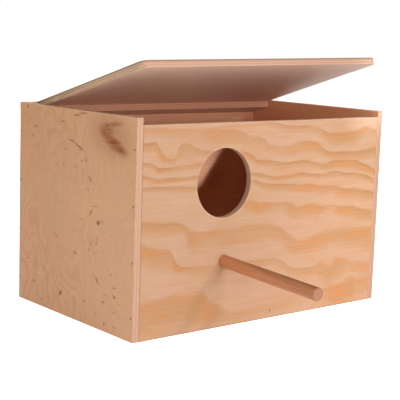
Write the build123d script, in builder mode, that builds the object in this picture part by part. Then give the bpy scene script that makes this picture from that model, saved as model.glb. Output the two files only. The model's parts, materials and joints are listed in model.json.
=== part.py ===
from build123d import *
import math
import os

# Plywood nest box with a round entrance, a dowel perch and a hinged lid.
# Millimetres.  +Z is up, -Y is the front and the origin is the centre of the base.
# The lid is modelled part open, turned about its hinge pins.

# Box
ply = 6.5
box_width = 314.0
box_depth = 200.0
box_height = 200.0
floor_thickness = 12.0
ease = 0.4  # lightly sanded edges

# Entrance and perch, seen from the front
entrance_diameter = 65.0
entrance_x = -56.0
entrance_z = 137.5
perch_diameter = 12.0
perch_outside = 125.0
perch_inside = 8.0
perch_x = -54.0
perch_z = 63.6
perch_droop = 2.75  # degrees below level
perch_chamfer = 0.6

# Lid and the batten under its rear edge
lid_side_gap = 1.2
lid_rear_gap = 1.2
lid_overhang = 2.5
lid_corner_radius = 8.0
lid_open_angle = 15.3  # degrees
batten_depth = 25.0
hinge_from_back = 15.5  # hinge axis to the rear face of the box

# Hinge pins: tight in the sides, free in the lid
pin_radius = 0.9
pin_length = 25.0
pin_head_radius = 1.6
pin_head_height = 1.0
pin_clearance = 0.05

# Brads
brad_radius = 0.7
brad_length = 20.0
brad_head_radius = 1.2
brad_head_height = 0.7
lid_brad_length = 11.5
wall_brad_first = 22.0  # height of the lowest brad in a wall joint
wall_brad_pitch = 50.0
wall_brad_count = 4
floor_brad_height = 7.5
floor_brad_y = (-55.0, 55.0)
floor_brad_x = 8.0
lid_brad_x = (-108.0, -36.0, 36.0, 108.0)

# Worked out from the above
half_width = box_width / 2
half_depth = box_depth / 2
inner_width = box_width - 2 * ply
inner_depth = box_depth - 2 * ply
front_height = box_height - ply
joint_y = half_depth - ply / 2  # middle of the front and back panels' thickness
lid_width = inner_width - 2 * lid_side_gap
hinge_y = half_depth - hinge_from_back
hinge_z = box_height - ply / 2
lid_rear = half_depth - ply - lid_rear_gap - hinge_y  # lid's rear edge, measured from the hinge
lid_front = -half_depth - lid_overhang - hinge_y  # lid's front edge, measured from the hinge
centred_low = (Align.CENTER, Align.CENTER, Align.MIN)
centred_high = (Align.CENTER, Align.CENTER, Align.MAX)

# The lid's own plane: x across, y towards its rear edge, z out of its top, through the hinge
opening = math.radians(lid_open_angle)
lid_plane = Plane(
    origin=(0, hinge_y, hinge_z),
    x_dir=(1, 0, 0),
    z_dir=(0, math.sin(opening), math.cos(opening)),
)
lid_up = Axis((0, 0, 0), lid_plane.z_dir)

# The perch's plane: z runs out of the front along the dowel
droop = math.radians(perch_droop)
perch_plane = Plane(
    origin=(perch_x, -half_depth, perch_z),
    x_dir=(1, 0, 0),
    z_dir=(0, -math.cos(droop), -math.sin(droop)),
)


def outside_plane(side, y, z):
    """Plane on a side panel's outer face; side is -1 for left, 1 for right."""
    return Plane(origin=(side * half_width, y, z), x_dir=(0, 1, 0), z_dir=(side, 0, 0))


def wall_places(y):
    """Brad places up both side panels, at one distance from front to back."""
    heights = [wall_brad_first + i * wall_brad_pitch for i in range(wall_brad_count)]
    return [outside_plane(side, y, z) for side in (-1, 1) for z in heights]


def front_back_place(facing):
    """Brad place near the middle of the front (-1) or back (1) panel, level with the floor."""
    origin = (floor_brad_x, facing * half_depth, floor_brad_height)
    return Plane(origin=origin, x_dir=(1, 0, 0), z_dir=(0, facing, 0))


floor_places = [outside_plane(side, y, floor_brad_height) for side in (-1, 1) for y in floor_brad_y]
floor_places += [front_back_place(-1), front_back_place(1)]
pin_places = [outside_plane(side, hinge_y, hinge_z) for side in (-1, 1)]
os.makedirs("parts", exist_ok=True)

# Dowel perch, pushed through the front
with BuildPart() as perch:
    with BuildSketch(perch_plane.offset(-ply - perch_inside)):
        Circle(perch_diameter / 2)
    extrude(amount=ply + perch_inside + perch_outside)
    chamfer(perch.edges().filter_by(GeomType.CIRCLE), perch_chamfer)

# Brads through the side panels into the ends of the front panel
with BuildPart() as front_brads:
    with Locations(*wall_places(-joint_y)):
        Cylinder(brad_radius, brad_length, align=centred_high)
        Cylinder(brad_head_radius, brad_head_height, align=centred_high)

# Brads through the side panels into the ends of the back panel
with BuildPart() as back_brads:
    with Locations(*wall_places(joint_y)):
        Cylinder(brad_radius, brad_length, align=centred_high)
        Cylinder(brad_head_radius, brad_head_height, align=centred_high)

# Brads through all four walls into the edges of the floor
with BuildPart() as floor_brads:
    with Locations(*floor_places):
        Cylinder(brad_radius, brad_length, align=centred_high)
        Cylinder(brad_head_radius, brad_head_height, align=centred_high)

# Brads down through the lid into its batten
with BuildPart() as lid_brads:
    batten_middle = lid_rear - batten_depth / 2
    with Locations(lid_plane.offset(ply / 2)):
        with Locations(*[(x, batten_middle) for x in lid_brad_x]):
            Cylinder(brad_radius, lid_brad_length, align=centred_high)
            Cylinder(brad_head_radius, brad_head_height, align=centred_high)

# Two nails that the lid turns on
with BuildPart() as hinge_pins:
    with Locations(*pin_places):
        Cylinder(pin_radius, pin_length, align=centred_high)
        Cylinder(pin_head_radius, pin_head_height, align=centred_high)

# Side panels, full depth and height
with BuildPart() as left_side:
    with Locations((-half_width + ply / 2, 0, 0)):
        Box(ply, box_depth, box_height, align=centred_low)
    fillet(left_side.edges(), ease)
    for nails in (front_brads, back_brads, floor_brads, hinge_pins):
        add(nails.part, mode=Mode.SUBTRACT)

with BuildPart() as right_side:
    with Locations((half_width - ply / 2, 0, 0)):
        Box(ply, box_depth, box_height, align=centred_low)
    fillet(right_side.edges(), ease)
    for nails in (front_brads, back_brads, floor_brads, hinge_pins):
        add(nails.part, mode=Mode.SUBTRACT)

# Front panel between the sides, lower than they are by the lid's thickness
with BuildPart() as front_panel:
    with Locations((0, -joint_y, 0)):
        Box(inner_width, ply, front_height, align=centred_low)
    fillet(front_panel.edges(), ease)
    with BuildSketch(Plane.XZ.offset(half_depth)):
        with Locations((entrance_x, entrance_z)):
            Circle(entrance_diameter / 2)
    extrude(amount=-ply, mode=Mode.SUBTRACT)
    rims = front_panel.edges().filter_by(GeomType.CIRCLE).filter_by(
        lambda edge: edge.radius > entrance_diameter / 4
    )
    fillet(rims, ease)
    for inserts in (front_brads, floor_brads, perch):
        add(inserts.part, mode=Mode.SUBTRACT)

# Back panel between the sides, full height
with BuildPart() as back_panel:
    with Locations((0, joint_y, 0)):
        Box(inner_width, ply, box_height, align=centred_low)
    fillet(back_panel.edges(), ease)
    for nails in (back_brads, floor_brads):
        add(nails.part, mode=Mode.SUBTRACT)

# Floor inside the four walls, level with their lower edges
with BuildPart() as floor_panel:
    Box(inner_width, inner_depth, floor_thickness, align=centred_low)
    fillet(floor_panel.edges(), ease)
    add(floor_brads.part, mode=Mode.SUBTRACT)

# Lid with rounded front corners and a blind hole in each end for a hinge pin
with BuildPart() as lid:
    with BuildSketch(lid_plane.offset(-ply / 2)) as outline:
        with Locations((0, lid_front)):
            Rectangle(lid_width, lid_rear - lid_front, align=(Align.CENTER, Align.MIN))
        fillet(outline.vertices().sort_by(Axis.Y)[:2], lid_corner_radius)
    extrude(amount=ply)
    fillet(lid.faces().sort_by(lid_up)[0].edges() + lid.faces().sort_by(lid_up)[-1].edges(), ease)
    with Locations(*pin_places):
        Cylinder(
            pin_radius + pin_clearance,
            pin_length + ply / 4,
            align=centred_high,
            mode=Mode.SUBTRACT,
        )
    add(lid_brads.part, mode=Mode.SUBTRACT)

# Batten under the lid's rear edge
with BuildPart() as lid_batten:
    with BuildSketch(lid_plane.offset(-ply / 2)):
        with Locations((0, lid_rear)):
            Rectangle(lid_width, batten_depth, align=(Align.CENTER, Align.MAX))
    extrude(amount=-ply)
    fillet(lid_batten.edges(), ease)
    add(lid_brads.part, mode=Mode.SUBTRACT)

pieces = {
    "left_side": left_side,
    "right_side": right_side,
    "front_panel": front_panel,
    "back_panel": back_panel,
    "floor_panel": floor_panel,
    "lid": lid,
    "lid_batten": lid_batten,
    "perch": perch,
    "hinge_pins": hinge_pins,
    "front_brads": front_brads,
    "back_brads": back_brads,
    "floor_brads": floor_brads,
    "lid_brads": lid_brads,
}
for label, piece in pieces.items():
    piece.part.label = label
    export_step(piece.part, f"parts/{label}.step")
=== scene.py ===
"""Looks of a plywood nest box: camera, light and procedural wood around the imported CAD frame."""

import json
import math

import bmesh
import bpy
from mathutils import Matrix, Vector


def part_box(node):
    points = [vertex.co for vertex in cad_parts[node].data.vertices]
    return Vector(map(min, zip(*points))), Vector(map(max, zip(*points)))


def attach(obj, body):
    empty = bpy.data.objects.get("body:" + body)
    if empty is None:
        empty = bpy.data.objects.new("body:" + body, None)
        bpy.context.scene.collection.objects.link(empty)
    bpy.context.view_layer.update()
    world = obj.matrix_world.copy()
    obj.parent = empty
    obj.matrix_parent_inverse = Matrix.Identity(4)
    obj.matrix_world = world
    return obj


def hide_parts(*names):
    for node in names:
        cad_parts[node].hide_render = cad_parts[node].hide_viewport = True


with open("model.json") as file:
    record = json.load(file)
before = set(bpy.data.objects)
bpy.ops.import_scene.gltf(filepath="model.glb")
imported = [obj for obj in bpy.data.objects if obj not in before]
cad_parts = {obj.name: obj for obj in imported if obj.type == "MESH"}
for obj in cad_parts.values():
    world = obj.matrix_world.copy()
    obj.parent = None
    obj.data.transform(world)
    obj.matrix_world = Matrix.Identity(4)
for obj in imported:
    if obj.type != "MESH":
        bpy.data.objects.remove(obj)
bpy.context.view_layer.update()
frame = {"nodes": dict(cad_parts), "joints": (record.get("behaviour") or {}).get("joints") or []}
scene = bpy.context.scene
nodes = frame["nodes"]
hinge = frame["joints"][0]

MM = 1000.0  # shader positions are in millimetres, the scene is in metres
SHEET = 6.5  # thickness of the plywood, mm
PLIES = 5.0  # layers in one sheet of it
FRONT_HALF = 150.5  # half the width of the front, between the sides, mm
WHITE = (1.0, 1.0, 1.0)

# Strength of the surroundings and of the floor: first as light on the box, then as the camera sees them
AMBIENT, AMBIENT_SEEN = 0.20, 1.0
FLOOR_GLOW, FLOOR_SEEN = 0.30, 0.95
FLOOR_COLOUR = (0.85, 0.85, 0.85, 1.0)

# The small hard light. A narrow one in the same direction reaches into the cavity.
KEY_AZIMUTH, KEY_ELEVATION = 21.8, 24.5
LIT_MIDDLE = Vector((0.0, 0.0, 0.1))
SOFTBOXES = (  # name, azimuth and elevation in degrees, distance, width and height in metres, watts, colour
    ("key", KEY_AZIMUTH, KEY_ELEVATION, 3.0, 0.16, 0.16, 12.0, (1.0, 0.93, 0.86)),
    ("high", 14, 50, 2.5, 0.9, 0.7, 14.0, WHITE),
    ("front", -6, 7.5, 2.5, 2.0, 0.5, 29.5, WHITE),
    ("left", -98, 12, 2.5, 1.5, 1.0, 21.8, WHITE),
    ("rear", 140, 25, 2.5, 1.2, 1.0, 26.0, WHITE),
)

# The lid is thin plywood, a little twisted: its right end stands further open than its left end
LID_TWIST = math.radians(1.8)
LID_SLICES = 24
LID_ANGLE = math.radians(15.3)  # how far the flat lid of the frame stands open
WELD = 1e-7  # vertices nearer than this are one, in metres
SHARP_ANGLE = math.radians(35)

# Colours, linear. Those that end in _TINT multiply another colour.
# Pine: the outer face of the front
PINE_LIGHT = (0.695, 0.408, 0.240)
PINE_PINK = (0.711, 0.413, 0.266)
PINE_BAND = (0.615, 0.308, 0.132)
PINE_ORANGE = (0.695, 0.308, 0.120)
PINE_LINE = (0.432, 0.208, 0.105)
PINE_RIM = (0.800, 0.520, 0.340)
PINE_SEAM_TINT = (0.400, 0.280, 0.200)
# painted shade: the front is tinted darker towards its left and towards its upper right corner
PINE_LEFT_SHADE_TINT = (0.840, 0.845, 0.850)
PINE_CORNER_SHADE_TINT = (0.900, 0.920, 0.920)
# Birch: the outer faces of the other panels, and the marks of the left one
BIRCH_LIGHT = (0.576, 0.316, 0.171)
BIRCH_DARK = (0.504, 0.258, 0.133)
BIRCH_WARM = (0.594, 0.312, 0.144)
BIRCH_PINK = (0.600, 0.308, 0.168)
BIRCH_GREEN = (0.560, 0.350, 0.165)
BIRCH_FRONT = (0.680, 0.385, 0.215)
# painted shade: the upper part of the left side's outer face is darker
BIRCH_TOP_SHADE_TINT = (0.940, 0.900, 0.840)
FLECK_TINT = (0.400, 0.190, 0.090)
KNOT_TINT = (0.400, 0.170, 0.030)
# Faces towards the nest cavity. The tints are painted light and shade: darker on the front and left side,
# lighter on the back and right side
INSIDE_LIGHT = (0.780, 0.430, 0.250)
INSIDE_DARK = (0.700, 0.350, 0.190)
INSIDE_SHADE_TINT = (0.860, 0.760, 0.660)
BACK_PAINTED_LIGHT_TINT = (1.080, 1.000, 1.020)
# painted shade: the back's inner face darker below the strip that daylight reaches
BACK_LOW_SHADE_TINT = (0.700, 0.610, 0.490)
RIGHT_PAINTED_LIGHT_TINT = (1.270, 1.220, 1.150)
# Cut edges of the plywood: plies cut along and across their grain, glue lines, and corners worn pale
EDGE_LONG = (0.650, 0.390, 0.268)
EDGE_END = (0.570, 0.325, 0.220)
GLUE = (0.300, 0.150, 0.085)
WORN = (0.740, 0.500, 0.350)
# Lid and batten
LID_PALE = (0.820, 0.590, 0.480)
LID_RED = (0.760, 0.430, 0.310)
# painted shade: the lid's underside is darker towards its right end
LID_RIGHT_SHADE_TINT = (0.840, 0.790, 0.770)
LID_END_TINT = (0.900, 0.960, 0.840)
# darkens the lid's edges towards the hinge, and its top ply
LID_EDGE_DARK_TINT = (0.440, 0.420, 0.370)
BATTEN_TINT = (0.960, 0.780, 0.670)
# Dowel
DOWEL_LIGHT = (0.555, 0.225, 0.098)
DOWEL_DARK = (0.370, 0.135, 0.058)
DOWEL_ROOT = (0.640, 0.270, 0.115)
# painted shade: the top of the perch is darker
DOWEL_TOP_SHADE_TINT = (0.520, 0.480, 0.420)
DOWEL_END_LIGHT = (0.500, 0.250, 0.165)
DOWEL_END_DARK = (0.380, 0.165, 0.100)
# Nails and brads
STEEL_DARK = (0.230, 0.120, 0.070)
STEEL_LIGHT = (0.340, 0.200, 0.125)

# Centre of the front's entrance, and the width of the paler ring round it, mm
ENTRANCE = (-56.0, 137.5)
RIM_SIZE = 60.0

# Growth bands of the front's rotary-cut pine, drawn one by one. Each row is one point of a band's dark upper
# edge: its place across and up the panel (mm), how far the band fades out below it (mm), and its strength
# (0 to 1). The curves that carry them run over this width and height of panel, and this length of fade.
GROWTH_WIDTH = 300.0
GROWTH_HEIGHT = 200.0
GROWTH_FADE = 40.0
PINE_GROWTH = (
    ((-150, 192, 9, 0.5), (-100, 189, 12, 0.5), (-70, 188, 16, 0.7), (-45, 187, 14, 0.7),
     (-25, 180, 10, 0.6), (-12, 178, 9, 0.7), (0, 171, 9, 0.5), (22, 169, 11, 0.6),
     (45, 173.5, 13, 0.7), (60, 171, 11, 0.8), (80, 161, 7, 0.9), (100, 160, 7, 1), (125, 160, 9, 0.9),
     (150, 163, 12, 0.9)),
    ((-150, 180, 5, 0), (-12, 193, 5, 0.3), (5, 192, 6, 0.6), (22, 189, 7, 0.6), (60, 186.5, 8, 0.6),
     (80, 180, 11, 0.9), (100, 179, 13, 0.9), (118, 181, 13, 0.9), (132, 185, 13, 0.8),
     (150, 180, 9, 0.5)),
    ((-150, 178, 8, 0.9), (-138, 178, 9, 0.9), (-132, 172, 9, 0.9), (-124, 164, 6, 0.9),
     (-116, 162, 5, 0.6), (-111, 173, 12, 0.7), (-104, 177, 14, 0.8), (-90, 171, 8, 0.8),
     (-70, 168, 6, 0.6), (-62, 167, 5, 0)),
    ((-150, 161, 4, 0.9), (-140, 159.5, 5, 0.9), (-131, 155, 5, 1), (-115, 155.5, 5, 0.8),
     (-95, 157, 5, 0.7), (-70, 158.5, 4, 0.5), (-50, 166, 5, 0), (-40, 166, 6, 0.5), (-22, 162, 7, 0.8),
     (-17, 157, 5, 0.8), (0, 156, 6, 0.8), (22, 153, 7, 0.9), (42, 154, 7, 0.9), (60, 151.5, 6, 0.9),
     (75, 149.5, 8, 0.9), (92, 152, 9, 1), (118, 150.5, 9, 1), (136, 145, 8, 1), (150, 139, 8, 0.9)),
    ((-150, 150, 5, 0.9), (-130, 145.5, 4.5, 0.9), (-88, 146, 4, 0.7), (-50, 147, 4, 0),
     (-30, 146, 4, 0.8), (-8, 143, 4.5, 0.9), (12, 140, 5, 0.9), (38, 141.5, 5, 0.9), (70, 139, 5, 0.8),
     (90, 141, 7, 0.9), (108, 138, 6, 0.9), (130, 136, 6, 1), (150, 129, 6, 0.9)),
    ((-150, 139, 5, 0.8), (-120, 138, 5, 0.8), (-88, 136, 5, 0.7), (-50, 140, 4, 0), (-26, 139, 4, 0.8),
     (0, 133.5, 7, 0.9), (24, 131.5, 7, 0.8), (40, 130.5, 8, 0.9), (60, 129, 10, 0.9),
     (72, 127, 10, 0.8), (92, 125, 8, 0.7), (100, 122.5, 9, 0.9), (120, 121, 10, 1), (150, 116, 10, 1)),
    ((-60, 120, 5, 0), (-38, 119, 7, 0.5), (-25, 119, 12, 0.9), (-10, 115, 10, 0.9), (15, 115, 11, 0.6),
     (32, 111, 14, 0.9), (42, 108, 12, 0.8), (57, 110.5, 14, 0.9), (72, 106.5, 10, 0.8),
     (86, 107, 8, 0.4), (100, 104, 12, 0.8), (115, 103.5, 13, 0.9), (130, 99.5, 12, 1),
     (150, 96, 12, 0.8)),
    ((-150, 109.5, 12, 0.9), (-130, 106.5, 11, 0.9), (-104, 103, 10, 0.8), (-94, 97, 19, 0.9),
     (-80, 94, 15, 0.7), (-50, 94, 16, 0.7), (-5, 94, 15, 0.7), (18, 89, 15, 0.7), (30, 81, 18, 0.7),
     (50, 74, 14, 0.7), (72, 79, 18, 0.8), (98, 81, 19, 0.8), (125, 80, 22, 0.9), (150, 79, 24, 0.9)),
    ((-150, 89, 18, 0.9), (-134, 82, 16, 0.8), (-118, 80, 14, 0.9), (-112, 70, 12, 0.9),
     (-106, 64.5, 9, 0.8), (-80, 61.5, 8, 0.7), (-40, 60, 8, 0.3), (8, 59.5, 8, 0.6), (20, 57, 10, 0.6),
     (34, 48, 9, 0.6), (60, 45, 9, 0.6), (78, 48.5, 20, 0.7), (88, 43, 24, 0.8), (101, 49, 24, 0.8),
     (122, 45, 12, 0.5), (150, 42, 20, 0.5)),
    ((-150, 34, 30, 0.7), (-108, 37, 32, 0.8), (-82, 37, 34, 0.9), (-70, 28, 26, 0.9),
     (-55, 20, 18, 0.6), (-35, 12, 12, 0.4), (0, 14, 10, 0.3), (60, 20, 12, 0.3), (110, 24, 24, 0.9),
     (123, 27, 26, 0.9), (132, 25, 20, 0.6), (150, 28, 20, 0.6)),
)

# Marks of the left side, placed one by one: across (towards the front) and up, length and width (mm), the
# angle in degrees, and how dark they are (0 to 1). The flecks' ends are soft, so each is drawn a little
# larger.
FLECK_LENGTHEN, FLECK_WIDEN = 1.1, 1.35
LEFT_FLECKS = (
    (-61, 196, 6, 1.6, -5, 0.35), (5, 195, 11, 1.7, 8, 0.75), (16, 197.5, 12, 1.6, 6, 0.7),
    (-19, 187, 10, 1.8, 6, 0.6), (-69, 178.5, 10, 1.8, 3, 0.55), (-75, 169.5, 4, 2.8, 20, 0.45),
    (-4, 170.5, 15, 1.5, -7, 0.75), (9, 166, 20, 1.7, -21, 0.85), (-14, 161.5, 7, 1.5, 0, 0.4),
    (14, 153, 5, 1.7, 5, 0.45), (20, 154.5, 5, 1.8, 5, 0.55), (4, 147, 7, 2.6, -10, 0.4),
    (-18, 146, 8, 1.5, 0, 0.4), (28, 138, 9, 2.4, -40, 0.65), (25.5, 128, 4, 2.2, 0, 0.45),
    (37.5, 114, 14, 1.2, 8, 0.45), (30, 107, 9, 2.4, 55, 0.65), (42.5, 99.5, 6, 3.8, 8, 1),
    (47, 101, 12, 4, 10, 0.25), (15, 98.5, 4, 2.6, 0, 0.45), (64, 91.5, 2.5, 2, 0, 0.35),
    (-29, 76, 9, 2.8, -25, 0.4), (31, 78, 3, 4, 0, 0.4), (28, 72, 3, 2.5, 0, 0.55),
    (37, 70.5, 3, 3, 0, 0.55), (40, 80, 2.5, 5, 0, 0.4), (41, 85, 2.5, 2.5, 0, 0.45),
    (4, 65, 8, 3.2, -12, 0.45), (-89, 63, 4, 2, 0, 0.35), (64, 55, 4, 2, 0, 0.45),
    (42, 46, 11, 2.4, -52, 0.65), (70, 44, 6, 1.8, 10, 0.6), (70.5, 35.5, 4.5, 3, 0, 0.7),
    (55, 34, 7, 1.3, 22, 0.4), (-82, 44, 8, 1.8, 5, 0.45), (53, 27.5, 5, 2.4, 15, 0.6),
    (-70.5, 23, 8, 2.8, 0, 0.5), (-20.5, 21, 7.5, 3.6, 50, 0.95), (21, 21.5, 7, 2, 8, 0.5),
    (71, 21.5, 5, 1.5, 10, 0.5), (41, 14, 3.5, 2, 0, 0.45), (71, 8, 5, 1.5, 5, 0.55),
)
LEFT_KNOT = (
    (61, 181, 84, 54, -12, 0.4), (54, 184, 38, 26, -5, 0.9), (66, 191.5, 40, 9, 6, 0.75),
    (66, 174, 54, 20, -20, 1), (75, 169.5, 34, 10, -8, 1), (58, 178, 26, 18, -30, 0.9),
    (50, 182, 9, 6, 0, 1), (55, 190, 8, 4.5, 0, 1),
)


class Surface:
    """One material. Most methods add a node and return its output. Places are in millimetres."""

    def __init__(self, name, roughness=0.6, gloss=0.3):
        self.material = bpy.data.materials.new(name)
        self.material.use_nodes = True
        self.tree = self.material.node_tree
        self.shader = self.tree.nodes["Principled BSDF"]
        self.roughness = roughness
        self.shader.inputs["Specular IOR Level"].default_value = gloss
        source = self.add("ShaderNodeTexCoord")
        self.place = self.vector("MULTIPLY", source.outputs["Object"], (MM, MM, MM))
        self.x, self.y, self.z = self.split(self.place)
        self.facing = self.split(source.outputs["Normal"])

    def add(self, kind, **settings):
        node = self.tree.nodes.new(kind)
        for key, value in settings.items():
            setattr(node, key, value)
        return node

    def put(self, socket, value):
        """Links an output to the socket, or sets the socket to a number, colour or vector."""
        if isinstance(value, bpy.types.NodeSocket):
            self.tree.links.new(value, socket)
        elif isinstance(value, tuple) and len(value) == 3 and len(socket.default_value) == 4:
            socket.default_value = (*value, 1.0)
        else:
            socket.default_value = value

    def math(self, operation, *values, clamp=False):
        node = self.add("ShaderNodeMath", operation=operation, use_clamp=clamp)
        for socket, value in zip(node.inputs, values):
            self.put(socket, value)
        return node.outputs[0]

    def vector(self, operation, *values):
        node = self.add("ShaderNodeVectorMath", operation=operation)
        for socket, value in zip(node.inputs, values):
            self.put(socket, value)
        return node.outputs["Value" if operation == "LENGTH" else "Vector"]

    def split(self, vector):
        node = self.add("ShaderNodeSeparateXYZ")
        self.put(node.inputs[0], vector)
        return tuple(node.outputs)

    def join(self, x, y, z=0.0):
        node = self.add("ShaderNodeCombineXYZ")
        for socket, value in zip(node.inputs, (x, y, z)):
            self.put(socket, value)
        return node.outputs[0]

    def mix(self, factor, first, second, blend="MIX"):
        node = self.add("ShaderNodeMix", data_type="RGBA", blend_type=blend)
        self.put(node.inputs[0], factor)
        self.put(node.inputs[6], first)
        self.put(node.inputs[7], second)
        return node.outputs[2]

    def tint(self, colour, by, amount=1.0):
        return self.mix(amount, colour, by, "MULTIPLY")

    def ease(self, value, start, end):
        """0 at start, 1 at end, smooth between."""
        node = self.add("ShaderNodeMapRange", interpolation_type="SMOOTHSTEP")
        for socket, item in zip(node.inputs, (value, start, end, 0.0, 1.0)):
            self.put(socket, item)
        return node.outputs[0]

    def ramp(self, value, stops):
        """Smooth profile through stops, a list of (position, level)."""
        node = self.add("ShaderNodeValToRGB")
        elements = node.color_ramp.elements
        elements[0].position, elements[1].position = stops[0][0], stops[-1][0]
        elements[0].color = (*[stops[0][1]] * 3, 1.0)
        elements[1].color = (*[stops[-1][1]] * 3, 1.0)
        for position, level in stops[1:-1]:
            elements.new(position).color = (*[level] * 3, 1.0)
        self.put(node.inputs[0], value)
        return node.outputs[0]

    def curves(self, value, rows):
        """Three smooth curves of one value; each row is (position, first, second, third)."""
        node = self.add("ShaderNodeRGBCurve")
        for channel in range(3):
            curve = node.mapping.curves[channel]
            ends = (rows[0][channel + 1], rows[-1][channel + 1])
            for row in rows[1:-1]:
                curve.points.new(row[0], row[channel + 1])
            points = curve.points
            points[0].location = (rows[0][0], ends[0])
            points[len(points) - 1].location = (rows[-1][0], ends[1])
            for point in points:
                point.handle_type = "AUTO_CLAMPED"
        node.mapping.extend = "HORIZONTAL"
        node.mapping.update()
        self.put(node.inputs["Color"], self.join(value, value, value))
        return self.split(node.outputs["Color"])

    def noise(self, place, per_mm, detail=2.0, roughness=0.5, seed=0.0):
        """Noise from 0 to 1; per_mm is its frequency along each axis."""
        node = self.add("ShaderNodeTexNoise", noise_dimensions="4D")
        self.put(node.inputs["Vector"], self.vector("MULTIPLY", place, per_mm))
        self.put(node.inputs["W"], seed)
        self.put(node.inputs["Scale"], 1.0)
        self.put(node.inputs["Detail"], detail)
        self.put(node.inputs["Roughness"], roughness)
        return node.outputs["Fac"]

    def wander(self, place, per_mm, reach, seed=0.0, detail=2.0):
        """Noise from -reach to reach."""
        level = self.noise(place, per_mm, detail, 0.5, seed)
        return self.math("MULTIPLY", self.math("SUBTRACT", level, 0.5), 2.0 * reach)

    def spot(self, place, centre, length, width, angle=0.0, core=0.5):
        """Mask of one ellipse on a flat place: 1 in its core, which is a share of its radius, 0 outside."""
        node = self.add("ShaderNodeMapping", vector_type="TEXTURE")
        self.put(node.inputs["Vector"], place)
        self.put(node.inputs["Location"], (*centre, 0.0))
        self.put(node.inputs["Rotation"], (0.0, 0.0, math.radians(angle)))
        self.put(node.inputs["Scale"], (length / 2, width / 2, 1.0))
        return self.ease(self.vector("LENGTH", node.outputs[0]), 1.15, core)

    def worn_rim(self, box, axis):
        """Uneven mask along the edges of a panel that is thin along that axis; its box is in metres."""
        gaps = []
        for low, high, place in zip(*box, (self.x, self.y, self.z)):
            offset = self.math("ABSOLUTE", self.math("SUBTRACT", place, (low + high) / 2 * MM))
            gaps.append(self.math("SUBTRACT", (high - low) / 2 * MM, offset))
        to_face = gaps.pop(axis)
        gap = self.math("ADD", self.math("MINIMUM", *gaps), to_face)
        gap = self.math("ADD", gap, self.wander(self.place, (0.12, 0.12, 0.12), 0.9, seed=21.0))
        return self.ease(gap, 0.9, 0.1)

    def finish(self, colour, height, depth=0.05, duller=0.0):
        """Ends the material: colour, and bump and roughness that follow the height (0 to 1) of the grain.

        depth is the bump's reach in millimetres, and duller is added to the roughness.
        """
        self.put(self.shader.inputs["Base Color"], colour)
        rough = self.math("MULTIPLY_ADD", height, -0.20, self.roughness + 0.10)
        self.put(self.shader.inputs["Roughness"], self.math("ADD", rough, duller))
        bump = self.add("ShaderNodeBump")
        self.put(bump.inputs["Strength"], 1.0)
        self.put(bump.inputs["Distance"], depth / MM)
        self.put(bump.inputs["Height"], height)
        self.put(self.shader.inputs["Normal"], bump.outputs[0])
        return self.material


def growth_bands(s, flat):
    """Pine figure on a flat place: how much band colour there is, and how much dark edge line."""
    u, v, _ = s.split(flat)
    across = s.math("DIVIDE", s.math("ADD", u, GROWTH_WIDTH / 2), GROWTH_WIDTH)
    slow, quick = s.wander(flat, (0.055, 0.10, 0.0), 1.1, 3.1), s.wander(flat, (0.22, 0.6, 0.0), 0.5, 8.2)
    height = s.math("ADD", v, s.math("ADD", slow, quick))
    ragged = s.wander(flat, (0.045, 0.9, 0.0), 1.0, 15.0, detail=3.0)
    patchy = s.noise(flat, (0.035, 0.16, 0.0), detail=2.0, seed=12.0)
    bands, lines = 0.0, 0.0
    for rows in PINE_GROWTH:
        table = [
            (place / GROWTH_WIDTH + 0.5, up / GROWTH_HEIGHT, length / GROWTH_FADE, strength)
            for place, up, length, strength in rows
        ]
        edge, fade, level = s.curves(across, table)
        fade = s.math("MULTIPLY", fade, GROWTH_FADE)
        soft = s.math("MULTIPLY_ADD", s.math("POWER", fade, 1.5), 0.030, 0.45)
        below = s.math("SUBTRACT", s.math("MULTIPLY", edge, GROWTH_HEIGHT), height)
        below = s.math("MULTIPLY_ADD", ragged, s.math("MULTIPLY", soft, 1.6), below)
        rise = s.ease(below, s.math("MULTIPLY", soft, -1.0), soft)
        fall = s.ease(s.math("DIVIDE", below, fade), 1.35, 0.30)
        bands = s.math("MAXIMUM", bands, s.math("MULTIPLY", s.math("MULTIPLY", rise, fall), level))
        thin = s.ease(s.math("ABSOLUTE", s.math("SUBTRACT", below, soft)), 1.6, 0.2)
        strength = s.math("MULTIPLY", level, s.ease(fade, 20.0, 7.0))
        lines = s.math("MAXIMUM", lines, s.math("MULTIPLY", thin, strength))
    return bands, s.math("MULTIPLY", lines, s.ease(patchy, 0.36, 0.58))


def fibres(s, flat, seed, fine=1.6):
    """Fine lines along the first axis of a flat place."""
    return s.noise(flat, (0.012, fine, 0.0), detail=4.0, roughness=0.65, seed=seed)


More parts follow.
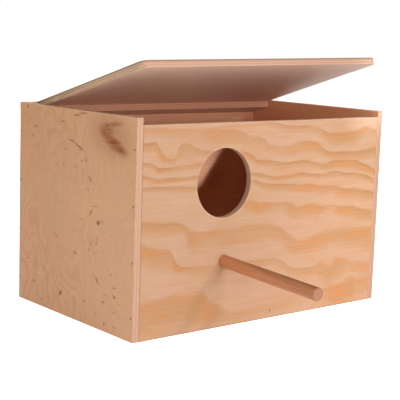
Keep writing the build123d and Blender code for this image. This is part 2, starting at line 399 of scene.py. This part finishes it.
def pine_face(s, flat, seed=0.0):
    """Rotary-cut pine of the front, and the height of its grain."""
    bands, lines = growth_bands(s, flat)
    streaks = s.noise(flat, (0.014, 0.42, 0.0), detail=4.0, roughness=0.7, seed=seed + 11.0)
    level = s.math("MULTIPLY_ADD", s.math("SUBTRACT", streaks, 0.5), 0.9, bands, clamp=True)
    cloud = s.noise(flat, (0.02, 0.06, 0.0), detail=2.0, seed=seed + 17.0)
    pale = s.mix(s.ease(cloud, 0.35, 0.65), PINE_LIGHT, PINE_PINK)
    colour = s.mix(level, pale, PINE_BAND)
    tone = s.noise(flat, (0.025, 0.13, 0.0), detail=3.0, seed=seed + 7.0)
    warm = s.math("MULTIPLY", s.ease(tone, 0.44, 0.62), s.math("MULTIPLY_ADD", level, 0.75, 0.22))
    colour = s.mix(warm, colour, PINE_ORANGE)
    colour = s.mix(s.math("MULTIPLY", lines, 0.42), colour, PINE_LINE)
    grain = fibres(s, flat, seed + 2.0)
    colour = s.tint(colour, s.ramp(grain, [(0.25, 0.35), (0.70, 1.0)]), 0.26)
    u, v, _ = s.split(flat)
    # painted shade: the front darker towards its left and towards its upper right, where less light falls
    colour = s.tint(colour, PINE_LEFT_SHADE_TINT, s.ease(u, 130.0, -60.0))
    corner_shade = s.math("MULTIPLY", s.ease(u, -10.0, 110.0), s.ease(v, 110.0, 185.0))
    colour = s.tint(colour, PINE_CORNER_SHADE_TINT, corner_shade)
    # darker where it meets the sides and along its foot, and paler just round the entrance
    to_side = s.math("SUBTRACT", FRONT_HALF, s.math("ABSOLUTE", u))
    seam = s.math("MAXIMUM", s.ease(to_side, 1.3, 0.3), s.ease(v, 1.4, 0.3))
    colour = s.tint(colour, PINE_SEAM_TINT, s.math("MULTIPLY", seam, 0.55))
    rim = s.spot(flat, ENTRANCE, RIM_SIZE, RIM_SIZE, core=1.11)
    return s.mix(s.math("MULTIPLY", rim, 0.18), colour, PINE_RIM), grain


def birch_face(s, flat, seed=0.0, per_mm=(0.013, 0.0085, 0.0), strength=1.0):
    """Rotary-cut birch with its wavy rings, and the height of its grain."""
    field = s.noise(flat, per_mm, detail=2.6, roughness=0.42, seed=seed + 1.0)
    rings = s.math("SINE", s.math("MULTIPLY", field, 165.0))  # lines of equal height in the field
    here = s.noise(flat, (0.020, 0.014, 0.0), detail=1.0, seed=seed + 2.0)
    reach = s.math("MULTIPLY_ADD", s.ease(here, 0.38, 0.58), 0.42 * strength, 0.10 * strength)
    figure = s.math("MULTIPLY", rings, reach)
    grain = fibres(s, flat, seed + 4.0, fine=0.9)
    coarse = s.noise(flat, (0.03, 0.16, 0.0), detail=3.0, roughness=0.6, seed=seed + 5.0)
    level = s.math("ADD", s.math("MULTIPLY", grain, 1.1), s.math("MULTIPLY", coarse, 1.3))
    level = s.math("ADD", s.math("SUBTRACT", level, 0.7), figure)
    colour = s.mix(level, BIRCH_DARK, BIRCH_LIGHT)
    cloud = s.noise(flat, (0.012, 0.016, 0.0), detail=2.0, seed=seed + 6.0)
    colour = s.mix(s.math("MULTIPLY", s.ease(cloud, 0.45, 0.75), 0.6), colour, BIRCH_WARM)
    mottle = s.noise(flat, (0.060, 0.022, 0.0), detail=3.0, seed=seed + 8.0)
    colour = s.mix(s.math("MULTIPLY", s.ease(mottle, 0.46, 0.62), 0.5), colour, BIRCH_PINK)
    return s.mix(s.math("MULTIPLY", s.ease(mottle, 0.46, 0.34), 0.5), colour, BIRCH_GREEN), grain


def long_birch_face(s, flat, seed=0.0):
    """The same veneer with its figure drawn out along the grain."""
    return birch_face(s, flat, seed, (0.0030, 0.0190, 0.0), 0.55)


def small_flecks(s, flat):
    """Scattered pith flecks, a few millimetres long."""
    share, spacing = 0.22, (9.0, 5.58, 1.0)
    moved = s.vector("ADD", flat, (13.0, 7.0, 0.0))
    cells = s.add("ShaderNodeTexVoronoi", voronoi_dimensions="2D", feature="F1")
    s.put(cells.inputs["Vector"], s.vector("DIVIDE", moved, spacing))
    s.put(cells.inputs["Scale"], 1.0)
    s.put(cells.inputs["Randomness"], 1.0)
    red, green, _ = s.split(cells.outputs["Color"])
    chosen = s.math("LESS_THAN", red, share)
    size = s.math("MULTIPLY_ADD", green, 0.12, 0.06)
    dot = s.ease(cells.outputs["Distance"], size, s.math("MULTIPLY", size, 0.3))
    return s.math("MULTIPLY", dot, chosen)


def edge_layers(s, depth, half, grain_turn, place):
    """Five plies across the thickness. grain_turn is 1 where the outer plies show end grain."""
    wave = s.wander(place, (0.05, 0.05, 0.05), 0.12, seed=2.0)
    position = s.math("DIVIDE", s.math("ADD", s.math("ADD", depth, wave), half), 2.0 * half)
    plies = s.math("MULTIPLY", position, PLIES)
    odd = s.math("GREATER_THAN", s.math("MODULO", plies, 2.0), 1.0)
    swapped = s.math("ABSOLUTE", s.math("SUBTRACT", odd, grain_turn))
    colour = s.mix(swapped, EDGE_LONG, EDGE_END)
    within = s.math("FRACT", plies)
    near = s.math("MINIMUM", within, s.math("SUBTRACT", 1.0, within))
    glue = s.math("MULTIPLY", s.ease(near, 0.10, 0.02), 0.30)
    colour = s.mix(glue, colour, GLUE)
    speckle = s.noise(place, (0.9, 0.9, 0.9), detail=3.0, seed=4.0)
    return s.tint(colour, s.ramp(speckle, [(0.3, 0.45), (0.7, 1.0)]), 0.25)


def inside_face(s, flat, seed=0.0):
    """Plain veneer of the faces towards the nest cavity, and the height of its grain."""
    grain = fibres(s, flat, seed + 4.0, fine=0.7)
    cloud = s.noise(flat, (0.010, 0.05, 0.0), detail=3.0, seed=seed + 6.0)
    level = s.math("ADD", s.math("MULTIPLY", grain, 0.5), s.math("MULTIPLY", cloud, 0.5))
    colour = s.mix(s.ease(level, 0.36, 0.62), INSIDE_DARK, INSIDE_LIGHT)
    streak = s.noise(flat, (0.045, 0.35, 0.0), detail=2.0, seed=seed + 9.0)
    return s.tint(colour, FLECK_TINT, s.math("MULTIPLY", s.ease(streak, 0.66, 0.76), 0.5)), grain


def plywood(name, across, face, cavity, seed=0.0, marks=None, inner_light_and_shade=WHITE, low_shade_tint=None):
    """Plywood of one panel, thin along the axis across ('x', 'y' or 'z').

    cavity is the side of the panel that the nest cavity is on, 1 towards plus or -1 towards minus.
    The low tint is painted shade on the inner face below the strip that daylight reaches.
    """
    s = Surface(name)
    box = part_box(name)
    axis = "xyz".index(across)
    centre = (box[0][axis] + box[1][axis]) / 2 * MM
    half = (box[1][axis] - box[0][axis]) / 2 * MM
    depth = s.math("SUBTRACT", (s.x, s.y, s.z)[axis], centre)
    if across == "x":
        flat = s.join(s.math("MULTIPLY", s.y, -1.0), s.z)
    elif across == "y":
        flat = s.join(s.x, s.z)
    else:
        flat = s.join(s.x, s.y)
    colour, grain = face(s, flat, seed)
    if marks:
        colour = marks(s, flat, colour)
    inner, inner_grain = inside_face(s, flat, seed + 100.0)
    # painted light and shade: the inner face tinted lighter on some panels and darker on others, standing in
    # for the light that reaches it
    inner = s.tint(inner, inner_light_and_shade)
    # painted shade: the inner face darker below the strip that daylight reaches
    if low_shade_tint:
        inner = s.tint(inner, low_shade_tint, s.ease(s.z, 180.0, 165.0))
    turned = s.math("GREATER_THAN", s.math("MULTIPLY", depth, cavity), 0.0)
    colour = s.mix(turned, colour, inner)
    grain = s.mix(turned, grain, inner_grain)
    along = s.math("ABSOLUTE", s.facing[1 if across == "x" else 0])
    edge = edge_layers(s, depth, half, s.math("GREATER_THAN", along, 0.6), s.place)
    inside = s.ease(s.math("ABSOLUTE", depth), half - 0.30, half - 0.42)
    colour = s.mix(inside, colour, edge)
    worn = s.math("MULTIPLY", s.worn_rim(box, axis), 0.35)
    return s.finish(s.mix(worn, colour, WORN), grain)


def left_marks(s, flat, colour):
    """Adds the knot, the pith flecks, the warmer front of the left side's outer face, and painted shade
    along its top.
    """
    bend = s.wander(flat, (0.35, 0.35, 0.0), 1.2, seed=1.3)
    rough = s.vector("ADD", flat, s.join(bend, s.wander(flat, (0.35, 0.35, 0.0), 0.8, seed=9.3)))
    total = 0.0
    for u, v, length, width, angle, level in LEFT_FLECKS:
        mask = s.spot(rough, (u, v), FLECK_LENGTHEN * length, FLECK_WIDEN * width, angle, core=0.25)
        total = s.math("MAXIMUM", s.math("MULTIPLY", mask, level), total)
    corner = s.spot(flat, (58, 45), 86, 130, core=0.3)
    small = s.math("MULTIPLY", small_flecks(s, rough), s.math("MULTIPLY", corner, 0.6))
    total = s.math("MAXIMUM", total, small)
    streaks = s.noise(flat, (0.07, 0.75, 0.0), detail=3.0, roughness=0.65, seed=6.6)
    smear = 0.0
    for u, v, length, width, angle, level in LEFT_KNOT:
        mask = s.spot(rough, (u, v), length, width, angle, core=0.12)
        smear = s.math("MAXIMUM", s.math("MULTIPLY", mask, level), smear)
    smear = s.math("MULTIPLY", smear, s.ramp(streaks, [(0.30, 0.60), (0.55, 1.0)]))
    u, v, _ = s.split(flat)
    colour = s.mix(s.math("MULTIPLY", s.ease(u, -70.0, 100.0), 0.55), colour, BIRCH_FRONT)
    # painted shade: the left side darker towards its top
    colour = s.tint(colour, BIRCH_TOP_SHADE_TINT, s.math("MULTIPLY", s.ease(v, 100.0, 185.0), 0.75))
    colour = s.tint(colour, KNOT_TINT, smear)
    return s.tint(colour, FLECK_TINT, total)


def lid_plywood():
    """Plywood of the lid and its batten, placed by the attributes that twisted() writes.

    They are in the frame of the shut, flat lid, with the origin in the hinge and the middle of the sheet.
    """
    s = Surface("lid", roughness=0.45, gloss=0.5)
    place = s.add("ShaderNodeAttribute", attribute_name="flat_place").outputs["Vector"]
    x, y, z = s.split(place)
    normal = s.add("ShaderNodeAttribute", attribute_name="flat_normal").outputs["Vector"]
    normal_x, _, normal_z = s.split(normal)
    flat = s.join(x, y)
    top, grain = long_birch_face(s, flat, 80.0)
    under, grain_under = inside_face(s, flat, 180.0)
    under = s.mix(0.75, under, LID_PALE)
    under = s.mix(s.math("MULTIPLY", s.ease(y, -95.0, -20.0), 0.4), under, LID_RED)
    # painted shade: the lid's underside darker towards its right end
    under = s.tint(under, LID_RIGHT_SHADE_TINT, s.ease(x, -150.0, 150.0))
    below = s.math("LESS_THAN", z, 0.0)
    colour = s.mix(below, top, under)
    in_batten = s.math("LESS_THAN", z, -SHEET / 2 - 0.10)
    depth = s.math("MULTIPLY_ADD", in_batten, SHEET, z)
    at_end = s.math("GREATER_THAN", s.math("ABSOLUTE", normal_x), 0.6)
    edge = edge_layers(s, depth, SHEET / 2, at_end, place)
    edge = s.tint(edge, BATTEN_TINT, in_batten)
    blotches = s.noise(s.join(x, y, s.math("MULTIPLY", z, 6.0)), (0.03, 0.03, 0.12), detail=3.0, seed=33.0)
    # darker on the lid's edges towards the hinge, in patches, and along its top ply all round
    edge_dark = s.math("MULTIPLY", s.ease(y, -130.0, -10.0), s.ease(blotches, 0.38, 0.58))
    edge_dark = s.math("MAXIMUM", edge_dark, s.math("MULTIPLY", s.ease(z, 1.4, 2.6), 0.9))
    edge_dark = s.math("MULTIPLY", edge_dark, s.math("SUBTRACT", 1.0, in_batten))
    edge = s.tint(s.tint(edge, LID_END_TINT, at_end), LID_EDGE_DARK_TINT, edge_dark)
    sideways = s.math("LESS_THAN", s.math("ABSOLUTE", normal_z), 0.7)
    colour = s.mix(sideways, colour, edge)
    duller = s.math("MULTIPLY", s.math("GREATER_THAN", z, 0.0), 0.40)  # the top is more weathered
    return s.finish(colour, s.mix(below, grain, grain_under), duller=duller)


def dowel(name):
    """Wood of the round perch, which droops towards its outer end."""
    s = Surface(name, roughness=0.5, gloss=0.35)
    low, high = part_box("perch")
    middle = (low + high) / 2 * MM
    thickness = high.x - low.x
    slope = math.atan2(high.z - low.z - thickness, high.y - low.y)
    along = s.y
    raised = s.math("MULTIPLY", s.math("SUBTRACT", along, middle.y), math.sin(slope))
    u = s.math("SUBTRACT", s.x, middle.x)
    v = s.math("SUBTRACT", s.math("SUBTRACT", s.z, middle.z), raised)
    body = s.join(u, s.math("MULTIPLY", along, 0.035), v)
    streak = s.noise(body, (0.5, 0.6, 0.5), detail=4.0, roughness=0.6, seed=2.0)
    colour = s.mix(s.ease(streak, 0.25, 0.90), DOWEL_LIGHT, DOWEL_DARK)
    # painted shade: the upward-facing side of the perch darker, as little light falls from above
    top_shade = s.math("MULTIPLY", s.ease(s.facing[2], 0.60, 0.97), 0.50)
    colour = s.tint(colour, DOWEL_TOP_SHADE_TINT, top_shade)
    root = s.math("MULTIPLY", s.ease(along, -160.0, -100.0), 0.6)
    colour = s.mix(root, colour, DOWEL_ROOT)
    fleck = s.noise(s.join(u, s.math("MULTIPLY", along, 0.22), v), (1.6, 1.0, 1.6), detail=2.0, seed=5.0)
    colour = s.tint(colour, FLECK_TINT, s.math("MULTIPLY", s.ease(fleck, 0.60, 0.72), 0.4))
    rings = s.math("SINE", s.math("MULTIPLY", s.math("ADD", u, s.math("MULTIPLY", v, 0.4)), 3.2))
    pores = s.noise(s.join(u, v), (2.2, 2.2, 0.0), detail=3.0, seed=3.0)
    end_level = s.math("ADD", s.math("MULTIPLY", rings, 0.12), pores)
    end = s.mix(s.ease(end_level, 0.35, 0.75), DOWEL_END_DARK, DOWEL_END_LIGHT)
    at_end = s.math("GREATER_THAN", s.math("ABSOLUTE", s.facing[1]), 0.75)
    colour = s.mix(at_end, colour, end)
    return s.finish(colour, streak)


def steel(name):
    """Dull brown steel of the nails and brads."""
    s = Surface(name, roughness=0.55)
    s.shader.inputs["Metallic"].default_value = 0.15
    grit = s.noise(s.place, (1.5, 1.5, 1.5), detail=3.0)
    return s.finish(s.mix(grit, STEEL_DARK, STEEL_LIGHT), grit, depth=0.03)


def set_material(piece, material):
    piece.data.materials.clear()
    piece.data.materials.append(material)


def twisted(name):
    """A copy of one of the lid's pieces with the twist of the real plywood, in place of the flat one."""
    mesh = nodes[name].data.copy()
    mesh.name = name + "_twisted"
    if mesh.has_custom_normals:  # they no longer fit once the faces are cut
        mesh.attributes.remove(mesh.attributes["custom_normal"])
    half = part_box("lid")[1].x  # half the lid's width; the twist grows from its left end to its right end
    pivot = Vector(hinge["pos_m"])
    level = Matrix.Rotation(LID_ANGLE, 3, "X")
    work = bmesh.new()
    work.from_mesh(mesh)
    bmesh.ops.remove_doubles(work, verts=work.verts, dist=WELD)
    for i in range(1, LID_SLICES):
        x = half * (2.0 * i / LID_SLICES - 1.0)
        everything = work.verts[:] + work.edges[:] + work.faces[:]
        bmesh.ops.bisect_plane(work, geom=everything, plane_co=(x, 0, 0), plane_no=(1, 0, 0))
    bmesh.ops.triangulate(work, faces=work.faces)
    place = work.verts.layers.float_vector.new("flat_place")
    normal = work.faces.layers.float_vector.new("flat_normal")
    for face in work.faces:
        face[normal] = level @ face.normal
    for vertex in work.verts:
        vertex[place] = level @ (vertex.co - pivot) * MM
        share = (vertex.co.x / half + 1.0) / 2.0
        turn = Matrix.Rotation(-LID_TWIST * share, 3, "X")
        vertex.co = pivot + turn @ (vertex.co - pivot)
    work.to_mesh(mesh)
    work.free()
    piece = bpy.data.objects.new(name + "_twisted", mesh)
    scene.collection.objects.link(piece)
    for polygon in mesh.polygons:
        polygon.use_smooth = True
    mesh.set_sharp_from_angle(angle=SHARP_ANGLE)
    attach(piece, "lid")
    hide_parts(name)
    return piece


def make_camera():
    """The camera of the photograph, which looks from the front left and is rolled a little."""
    azimuth = math.radians(-39.43)
    elevation = math.radians(8.78)
    roll = math.radians(1.92)
    distance = 1.107
    target = Vector((-0.0027, 0.0, 0.1036))
    back = Vector((
        math.sin(azimuth) * math.cos(elevation),
        -math.cos(azimuth) * math.cos(elevation),
        math.sin(elevation),
    ))
    level = Vector((math.cos(azimuth), math.sin(azimuth), 0.0))
    upright = back.cross(level)
    right = math.cos(roll) * level + math.sin(roll) * upright
    up = math.cos(roll) * upright - math.sin(roll) * level
    data = bpy.data.cameras.new("camera")
    data.sensor_width = 36.0
    data.lens = 96.57
    camera = bpy.data.objects.new("camera", data)
    scene.collection.objects.link(camera)
    turn = Matrix((right, up, back)).transposed().to_4x4()
    camera.matrix_world = Matrix.Translation(target + back * distance) @ turn
    scene.camera = camera


def hang_light(data, aim, azimuth, elevation, distance):
    """Puts a light at that distance from the point it lights; azimuth 0 is in front, 90 on the right."""
    turn, rise = math.radians(azimuth), math.radians(elevation)
    level = math.cos(rise)
    towards = Vector((math.sin(turn) * level, -math.cos(turn) * level, math.sin(rise)))
    lamp = bpy.data.objects.new(data.name, data)
    scene.collection.objects.link(lamp)
    lamp.location = aim + towards * distance
    lamp.rotation_mode = "QUATERNION"
    lamp.rotation_quaternion = towards.to_track_quat("Z", "Y")


def softbox(name, azimuth, elevation, distance, width, height, power, colour):
    """Rectangular light that shines on the middle of the box."""
    data = bpy.data.lights.new(name, "AREA")
    data.shape = "RECTANGLE"
    data.size = width
    data.size_y = height
    data.energy = power
    data.color = colour
    hang_light(data, LIT_MIDDLE, azimuth, elevation, distance)


def cavity_spot():
    """Narrow light that enters between the front and the raised lid and falls on the back's inner face."""
    data = bpy.data.lights.new("cavity", "SPOT")
    data.spot_size = math.radians(3.2)
    data.spot_blend = 0.5
    data.shadow_soft_size = 0.026
    data.color = (0.82, 0.98, 1.20)
    data.energy = 74.0
    over_the_front = Vector((0.146, -0.100, 0.218))
    hang_light(data, over_the_front, KEY_AZIMUTH, KEY_ELEVATION, 1.0)


def whiter_for_camera(tree, socket, light, seen):
    """Gives a backdrop's strength one level as light on the box and another as the camera sees it."""
    path = tree.nodes.new("ShaderNodeLightPath")
    level = tree.nodes.new("ShaderNodeMath")
    level.operation = "MULTIPLY_ADD"
    tree.links.new(path.outputs["Is Camera Ray"], level.inputs[0])
    level.inputs[1].default_value = seen - light
    level.inputs[2].default_value = light
    tree.links.new(level.outputs[0], socket)


def make_studio():
    """Pale floor, white surroundings and soft lights."""
    bpy.ops.mesh.primitive_plane_add(size=12)
    floor = bpy.context.object
    floor.name = "floor"
    material = bpy.data.materials.new("floor")
    material.use_nodes = True
    shader = material.node_tree.nodes["Principled BSDF"]
    shader.inputs["Base Color"].default_value = FLOOR_COLOUR
    shader.inputs["Roughness"].default_value = 1.0
    shader.inputs["Specular IOR Level"].default_value = 0.0
    shader.inputs["Emission Color"].default_value = (*WHITE, 1.0)
    whiter_for_camera(material.node_tree, shader.inputs["Emission Strength"], FLOOR_GLOW, FLOOR_SEEN)
    set_material(floor, material)
    world = bpy.data.worlds.new("studio")
    world.use_nodes = True
    tree = world.node_tree
    background = tree.nodes["Background"]
    background.inputs["Color"].default_value = (*WHITE, 1.0)
    whiter_for_camera(tree, background.inputs["Strength"], AMBIENT, AMBIENT_SEEN)
    scene.world = world
    for row in SOFTBOXES:
        softbox(*row)
    cavity_spot()
    scene.view_settings.view_transform = "Standard"


def dress():
    """Gives every piece its material."""
    panels = {
        # the inner faces carry tints of painted light and painted shade
        "front_panel": plywood("front_panel", "y", pine_face, 1, inner_light_and_shade=INSIDE_SHADE_TINT),
        "back_panel": plywood(
            "back_panel", "y", long_birch_face, -1, 20.0, inner_light_and_shade=BACK_PAINTED_LIGHT_TINT, low_shade_tint=BACK_LOW_SHADE_TINT
        ),
        "left_side": plywood("left_side", "x", birch_face, 1, marks=left_marks, inner_light_and_shade=INSIDE_SHADE_TINT),
        "right_side": plywood("right_side", "x", long_birch_face, -1, 40.0, inner_light_and_shade=RIGHT_PAINTED_LIGHT_TINT),
        "floor_panel": plywood("floor_panel", "z", long_birch_face, 1, 60.0),
    }
    for name, material in panels.items():
        set_material(nodes[name], material)
    lid_pieces = {name: twisted(name) for name in ("lid", "lid_batten", "lid_brads")}
    lid_material = lid_plywood()
    for name in ("lid", "lid_batten"):
        set_material(lid_pieces[name], lid_material)
    set_material(nodes["perch"], dowel("perch"))
    metal = steel("nail_steel")
    for name in ("hinge_pins", "front_brads", "back_brads", "floor_brads"):
        set_material(nodes[name], metal)
    set_material(lid_pieces["lid_brads"], metal)


make_camera()
make_studio()
dress()
